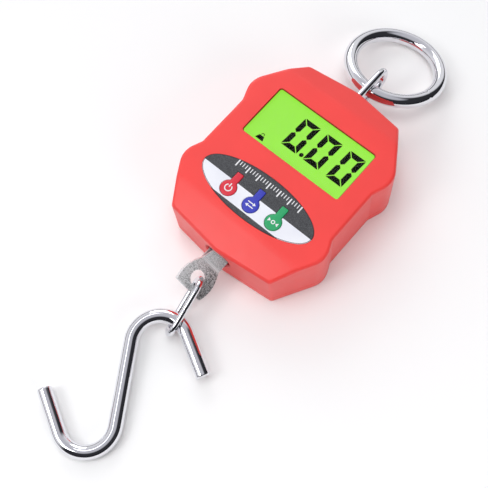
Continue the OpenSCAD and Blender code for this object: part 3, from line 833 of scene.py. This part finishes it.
add_piece("lcd_marks", lcd_marks(), "lcd_green", "case", material="lcd_ink")
lens_plan = box_ring(LENS_LOW.x, LENS_HIGH.x, LENS_LOW.y, LENS_HIGH.y, 1.0)
add_piece("display_window", eased(lens_plan, LENS_LOW.z, LENS_HIGH.z, 0.1, 0.1),
          "lens", "case", ["display_lens"])

# label and buttons

LABEL_TOP = LABEL_HIGH.z
PRINT_T = 0.03


def label():
    keys = [prism(keyhole_ring(i * BUTTON_PITCH, BUTTON_GAP),
                  [(0.0, LABEL_LOW.z - 1), (0.0, LABEL_TOP + 1)]) for i in (-1, 0, 1)]
    return cut(eased(ellipse_ring(0.0, LABEL_MID.y, LABEL_HALF.x, LABEL_HALF.y),
                     LABEL_LOW.z, LABEL_TOP, 0.0, 0.12), *keys)


def label_ticks():
    """A row of graduation ticks across the charcoal part."""
    ticks = Solid()
    count, every, first_x, last_x, top = 25, 4, -18.0, 18.4, -12.5
    for i in range(count):
        x = first_x + (last_x - first_x) * i / (count - 1)
        half, low = (0.32, -16.0) if i % every == 0 else (0.2, -14.6)
        solid = plate([(x - half, low), (x + half, low), (x + half, top), (x - half, top)],
                      LABEL_TOP, LABEL_TOP + PRINT_T)
        ticks.add(solid.verts, solid.faces)
    return ticks


def rim(plan, inner, z0, z1):
    """A thin printed line between plan(0) and plan(inner)."""
    rings = [[Vector((p.x, p.y, z)) for p in plan(d)]
             for d, z in ((0.0, z0), (0.0, z1), (inner, z1), (inner, z0), (0.0, z0))]
    return loft(rings, caps=False)


label_edge = ellipse_ring(0.0, LABEL_MID.y, LABEL_HALF.x - 0.12, LABEL_HALF.y - 0.12)
add_piece("label_rim", rim(label_edge, 0.24, LABEL_TOP - 0.01, LABEL_TOP + 0.02),
          "label_film", "case", material="rim_ink")
# a thin dark frame round the lens's top: painted shade of the window's recess
add_piece("window_recess_shade",
          rim(box_ring(*WINDOW, 1.5), 0.34, LENS_HIGH.z - 0.02, LENS_HIGH.z + 0.03),
          "lens", "case", material="painted_recess_shade")
add_piece("face_label_film", label(), "label_film", "case", ["face_label"])
add_piece("label_ticks", label_ticks(), "label_film", "case", material="print_white")

BUTTON_LOW, BUTTON_HIGH = box_mm("power_button")
FLANGE, STEM_R = 0.8, 2.0


def button(x):
    top = BUTTON_HIGH.z
    levels = [(0.0, INNER_Z - 0.4)] + [(d, top - 0.12 - fall) for d, fall in quarter(0.3, 4)]
    levels += [(0.6, top - 0.07), (0.9, top - 0.03), (1.2, top)]
    cap = prism(keyhole_ring(x), levels)
    flange = prism(keyhole_ring(x, FLANGE), [(0.0, INNER_Z - 1.0), (0.0, INNER_Z - 0.3)])
    stem = cylinder(x, BUTTON_Y, STEM_R, BUTTON_LOW.z, INNER_Z - 0.8)
    return join(cap, flange, stem)


def icon_arc(x, r, t, start, stop, n=20):
    """Pieces of a ring of outer radius r and width t, from start to stop in degrees."""
    angles = [math.radians(start + (stop - start) * i / n) for i in range(n + 1)]
    inner = [(x + (r - t) * math.cos(a), BUTTON_Y + (r - t) * math.sin(a)) for a in angles]
    outer = [(x + r * math.cos(a), BUTTON_Y + r * math.sin(a)) for a in angles]
    return [[inner[i], outer[i], outer[i + 1], inner[i + 1]] for i in range(n)]


def icon(kind, x):
    """A power sign, two opposed arrows for the unit, or a zeroing sign."""
    if kind == "power":
        shapes = icon_arc(x, 1.9, 0.5, 125, 415)
        shapes.append([(x - 0.28, BUTTON_Y + 0.5), (x + 0.28, BUTTON_Y + 0.5),
                       (x + 0.28, BUTTON_Y + 2.5), (x - 0.28, BUTTON_Y + 2.5)])
    elif kind == "unit":
        shapes = []
        for s in (-1, 1):
            shapes.append([(x + s * 2.3, BUTTON_Y + s * 0.85), (x + s * 1.0, BUTTON_Y + s * 1.75),
                           (x + s * 1.0, BUTTON_Y + s * -0.05)][::s])
            shapes.append([(x - s * 2.0, BUTTON_Y + s * 0.6), (x + s * 1.05, BUTTON_Y + s * 0.6),
                           (x + s * 1.05, BUTTON_Y + s * 1.1), (x - s * 2.0, BUTTON_Y + s * 1.1)][::s])
    else:
        shapes = icon_arc(x, 1.0, 0.45, 0, 360)
        for s in (-1, 1):
            shapes.append([(x + s * 1.35, BUTTON_Y), (x + s * 2.6, BUTTON_Y + 0.95),
                           (x + s * 2.6, BUTTON_Y - 0.95)][::s])
    marks = Solid()
    for points in shapes:
        solid = plate(points, BUTTON_HIGH.z - 0.04, BUTTON_HIGH.z + PRINT_T)
        marks.add(solid.verts, solid.faces)
    return marks


for step, kind, slot in ((-1, "power", "button_red"), (0, "unit", "button_blue"),
                         (1, "tare", "button_green")):
    node = kind + "_button"
    add_piece(node + "_cap", button(step * BUTTON_PITCH), slot, node, [node])
    add_piece(node + "_icon", icon(kind, step * BUTTON_PITCH), slot, node,
              material="print_white", smooth=20)

# ring and eye

RING_WIRE_R = 3.4


def seam_radius(r, at, half_width, depth):
    """The bar's radius r, with a shallow groove where its two ends were welded."""
    return lambda share: r - depth * math.exp(-((share - at) / half_width) ** 2)


def hang_ring():
    low, high = box_mm("hang_ring")
    centre = (low + high) / 2
    r = (high.x - low.x) / 2 - RING_WIRE_R
    rise = (high.z - low.z) / 2 - RING_WIRE_R
    along = Vector((0.0, math.sqrt(r * r - rise * rise), -rise)) / r
    path = turn_points(centre, Vector((1, 0, 0)), along, r, 0, 360, 240)[:-1]
    return sweep(path, seam_radius(RING_WIRE_R, 0.965, 0.004, 0.16), closed=True, sides=56)


def top_eye():
    low, high = box_mm("top_eye")
    bend_y = high.y - EYE_HALF_W - EYE_WIRE_R
    y, z = Vector((0, 1, 0)), Vector((0, 0, 1))
    legs = [Vector((0.0, low.y + (bend_y - low.y) * i / 24, AXIS_Z - EYE_HALF_W)) for i in range(24)]
    bend = turn_points(Vector((0.0, bend_y, AXIS_Z)), -z, y, EYE_HALF_W, 0, 180, 48)
    back = [Vector((p.x, p.y, 2 * AXIS_Z - p.z)) for p in reversed(legs)]
    path, radius = rounded_ends(legs + bend + back, EYE_WIRE_R, 0.3)
    return sweep(path, radius, sides=40)


add_piece("hang_ring_bar", hang_ring(), "chrome_wire", "ring", ["hang_ring"], smooth=60)
add_piece("top_eye_wire", top_eye(), "chrome_wire", "case", ["top_eye"], smooth=60)

# lug

LUG_TURN = 34.0
BRIDGE_Y, SPREAD_Y, BEND_Y, HOLE_Y, END_Y = -42.0, -48.6, -55.85, -64.05, -70.75
STRAP_T, STRAP_GAP, STRAP_SPREAD = 1.4, 0.1, 4.6
NECK_TOP, NECK, LUG_W, END_W = 4.3, 5.2, 7.7, 7.4
HOLE_R, BOLT_HOLE_R = 3.9, 2.55
BULGE = LUG_W - (NECK + END_W) / 2 + 0.3


def swivel_lug():
    steps = 20
    side = []
    for i in range(steps + 1):
        t = i / steps
        side.append((NECK + t * (END_W - NECK) + BULGE * math.sin(math.pi * t),
                     BEND_Y + t * (END_Y - BEND_Y)))
    right = [(NECK_TOP, BRIDGE_Y + 1), (NECK_TOP, SPREAD_Y)] + side
    plan = right + [(-x, y) for x, y in reversed(right)]
    outer = [(BRIDGE_Y, STRAP_SPREAD, 1.3), (SPREAD_Y, STRAP_SPREAD, 3.2),
             (BEND_Y, STRAP_GAP + STRAP_T, 1.5), (END_Y, STRAP_GAP + STRAP_T, 0.12)]
    inner = [(BRIDGE_Y - STRAP_T, STRAP_SPREAD - STRAP_T, 0.5),
             (SPREAD_Y, STRAP_SPREAD - STRAP_T, 1.8),
             (BEND_Y, STRAP_GAP, 1.0), (END_Y - 1, STRAP_GAP, 0.05)]

    def profile(half):
        loop = half + [(y, -z, r) for y, z, r in reversed(half)]
        ring = [p for a in rounded(loop, 6) for p in a]
        return loft([[Vector((x, p.x, p.y)) for p in ring] for x in (-15.0, 15.0)])
    strap = cut(profile(outer), profile(inner))
    strap = boolean(strap, [plate(plan, -12.0, 12.0)], "INTERSECT")
    bore = along_y(prism(circle_ring(0.0, 0.0, BOLT_HOLE_R, 32), [(0.0, 0.0), (0.0, 5.0)]),
                   (0.0, BRIDGE_Y - 4, 0.0))
    hole = prism(circle_ring(0.0, HOLE_Y, HOLE_R, 56), [(0.0, -12.0), (0.0, 12.0)])
    turn = Matrix.Rotation(math.radians(LUG_TURN), 4, "Y")
    return cut(strap, hole, bore).moved(Matrix.Translation((0, 0, AXIS_Z)) @ turn)


add_piece("swivel_lug_strap", swivel_lug(), "lug_steel", "lug", ["swivel_lug"], bevel=0.22)

# link and hook

LINK_AT, LINK_TURN = Vector((2.45, -76.7, 9.9)), (20.3, 24.4, 15.8)
LINK_HALF, LINK_BEND, LINK_WIRE_R = 8.55, 5.7, 1.5
HOOK_AT, HOOK_TURN = Vector((4.2, -119.8, 5.5)), (3.7, 0.0, 32.7)
HOOK_HALF, HOOK_BEND_R, HOOK_BEND, HOOK_ARM, HOOK_WIRE_R = 19.1, 13.1, 150.0, 21.4, 3.4


def placed(at, turn):
    angles = Euler([math.radians(a) for a in turn], "XYZ")
    return Matrix.Translation(at) @ angles.to_matrix().to_4x4()


def chain_link():
    y, z = Vector((0, 1, 0)), Vector((0, 0, 1))
    path = []
    for s in (1, -1):
        path += turn_points(s * LINK_HALF * y, -s * z, s * y, LINK_BEND, 0, 180, 40)
        run = Vector((0.0, s * LINK_HALF, s * LINK_BEND))
        path += [run - y * s * 2 * LINK_HALF * i / 24 for i in range(1, 24)]
    bar = sweep(path, seam_radius(LINK_WIRE_R, 0.41, 0.006, 0.14), closed=True, sides=40)
    return bar.moved(placed(LINK_AT, LINK_TURN))


def s_hook():
    x, y = Vector((1, 0, 0)), Vector((0, 1, 0))
    end_turn = 180 - HOOK_BEND
    bend = turn_points(HOOK_BEND_R * x + HOOK_HALF * y, x, y, HOOK_BEND_R, 180, end_turn, 72)
    way = Vector((math.sin(math.radians(end_turn)), -math.cos(math.radians(end_turn)), 0.0))
    arm = [bend[-1] + way * HOOK_ARM * i / 16 for i in range(1, 17)]
    half = bend + arm
    shank = [y * HOOK_HALF * (2 * i / 32 - 1) for i in range(1, 32)]
    path, radius = rounded_ends([-p for p in reversed(half)] + shank + half, HOOK_WIRE_R, 0.7)
    return sweep(path, radius, sides=56).moved(placed(HOOK_AT, HOOK_TURN))


add_piece("chain_link_bar", chain_link(), "chrome_wire", "link", ["chain_link"], smooth=60)
add_piece("s_hook_bar", s_hook(), "chrome_wire", "hook", ["s_hook"], smooth=60)

# the other nodes keep their shape and get their slot's finish

for part in frame["record"]["subparts"]:
    obj = frame["nodes"][part["node"]]
    obj.data.materials.clear()
    obj.data.materials.append(MATERIALS[part["material_slot"]])

# ---- floor, light and camera ----

FLOOR_HALF = 1.5
FLOOR_Z = -0.0001
floor_mesh = bpy.data.meshes.new("floor")
floor_mesh.from_pydata([(sx * FLOOR_HALF, sy * FLOOR_HALF, 0) for sx, sy in
                        ((-1, -1), (1, -1), (1, 1), (-1, 1))], [], [(0, 1, 2, 3)])
floor = bpy.data.objects.new("floor", floor_mesh)
floor.location.z = FLOOR_Z
bpy.context.scene.collection.objects.link(floor)
floor_mat, _, floor_bsdf = new_material("floor_paper")
floor_bsdf.inputs["Base Color"].default_value = (0.96, 0.96, 0.955, 1.0)
floor_bsdf.inputs["Roughness"].default_value = 0.9
floor_mesh.materials.append(floor_mat)


def area_light(name, at, aim, size, power):
    data = bpy.data.lights.new(name, "AREA")
    data.shape = "RECTANGLE"
    data.size, data.size_y = size
    data.energy = power
    lamp = bpy.data.objects.new(name, data)
    bpy.context.scene.collection.objects.link(lamp)
    lamp.location = at
    lamp.rotation_mode = "QUATERNION"
    lamp.rotation_quaternion = (Vector(aim) - Vector(at)).to_track_quat("-Z", "Y")
    return lamp


AIM = Vector((0.0, -0.03, 0.01))
HOOK_MID = Vector((0.004, -0.12, 0.005))


def toward(x, y, z, distance):
    """The place at a distance from AIM in the direction x, y, z."""
    return AIM + Vector((x, y, z)).normalized() * distance


area_light("softbox_left", toward(-0.28, -0.6, 0.75, 0.7), AIM, (0.26, 0.26), 0.95)
area_light("strip_over", (-0.33, -0.155, 0.84), HOOK_MID, (0.4, 0.12), 0.35)
area_light("softbox_back", toward(-0.75, 0.6, 0.6, 0.9), AIM, (0.5, 0.5), 1.5)
for name, way, power in (("fill_right", (0.9, -0.1, 0.45), 2.3),
                         ("fill_front", (0.35, -0.9, 0.35), 0.8),
                         ("fill_top", (0.0, 0.0, 1.0), 2.3)):
    # seen by dull surfaces only, so the bright metal keeps its dark side
    area_light(name, toward(*way, 0.9), AIM, (0.5, 0.5), power).visible_glossy = False

# the room: pale above, with a dark line at the horizon, and dark to the right up to a high level
DARK_WAY = (0.95, -0.2, 0.0)
world = bpy.data.worlds.new("studio")
bpy.context.scene.world = world
world.use_nodes = True
room = world.node_tree
coords = room.nodes.new("ShaderNodeTexCoord")
split = room.nodes.new("ShaderNodeSeparateXYZ")
link(room, coords.outputs["Generated"], split.inputs["Vector"])
pale_side = ramp(room, split.outputs["Z"], [
    (0.0, (0.04, 0.04, 0.05)), (0.1, (0.06, 0.06, 0.07)), (0.2, (0.8, 0.8, 0.82)),
    (0.4, (0.85, 0.85, 0.87)), (0.85, (0.60, 0.60, 0.64)), (1.0, (0.56, 0.56, 0.60))])
dark_side = ramp(room, split.outputs["Z"], [
    (0.0, (0.02, 0.02, 0.024)), (0.82, (0.035, 0.035, 0.04)),
    (0.91, (0.5, 0.5, 0.54)), (1.0, (0.56, 0.56, 0.60))])
facing = room.nodes.new("ShaderNodeVectorMath")
facing.operation = "DOT_PRODUCT"
link(room, coords.outputs["Generated"], facing.inputs[0])
facing.inputs[1].default_value = DARK_WAY
side = room.nodes.new("ShaderNodeMapRange")
side.interpolation_type = "SMOOTHSTEP"
side.inputs["From Min"].default_value = -0.22
side.inputs["From Max"].default_value = 0.06
link(room, facing.outputs["Value"], side.inputs["Value"])
backdrop = room.nodes["Background"]
link(room, mixed(room, side.outputs["Result"], pale_side, dark_side), backdrop.inputs["Color"])
backdrop.inputs["Strength"].default_value = 1.0

CAMERA_AT = Vector((0.11193, -0.12871, 0.38219))
CAMERA_RIGHT = Vector((0.7534, 0.6550, -0.0576))
CAMERA_UP = Vector((-0.5987, 0.7196, 0.3519))
CAMERA_BACK = Vector((0.2719, -0.2307, 0.9343))
camera_data = bpy.data.cameras.new("camera")
camera_data.lens, camera_data.sensor_width = 63.54, 36.0
camera_data.clip_start, camera_data.clip_end = 0.01, 20.0
camera = bpy.data.objects.new("camera", camera_data)
bpy.context.scene.collection.objects.link(camera)
turn = Matrix((CAMERA_RIGHT, CAMERA_UP, CAMERA_BACK)).transposed().to_4x4()
camera.matrix_world = Matrix.Translation(CAMERA_AT) @ turn
bpy.context.scene.camera = camera

bpy.context.scene.view_settings.view_transform = "Standard"
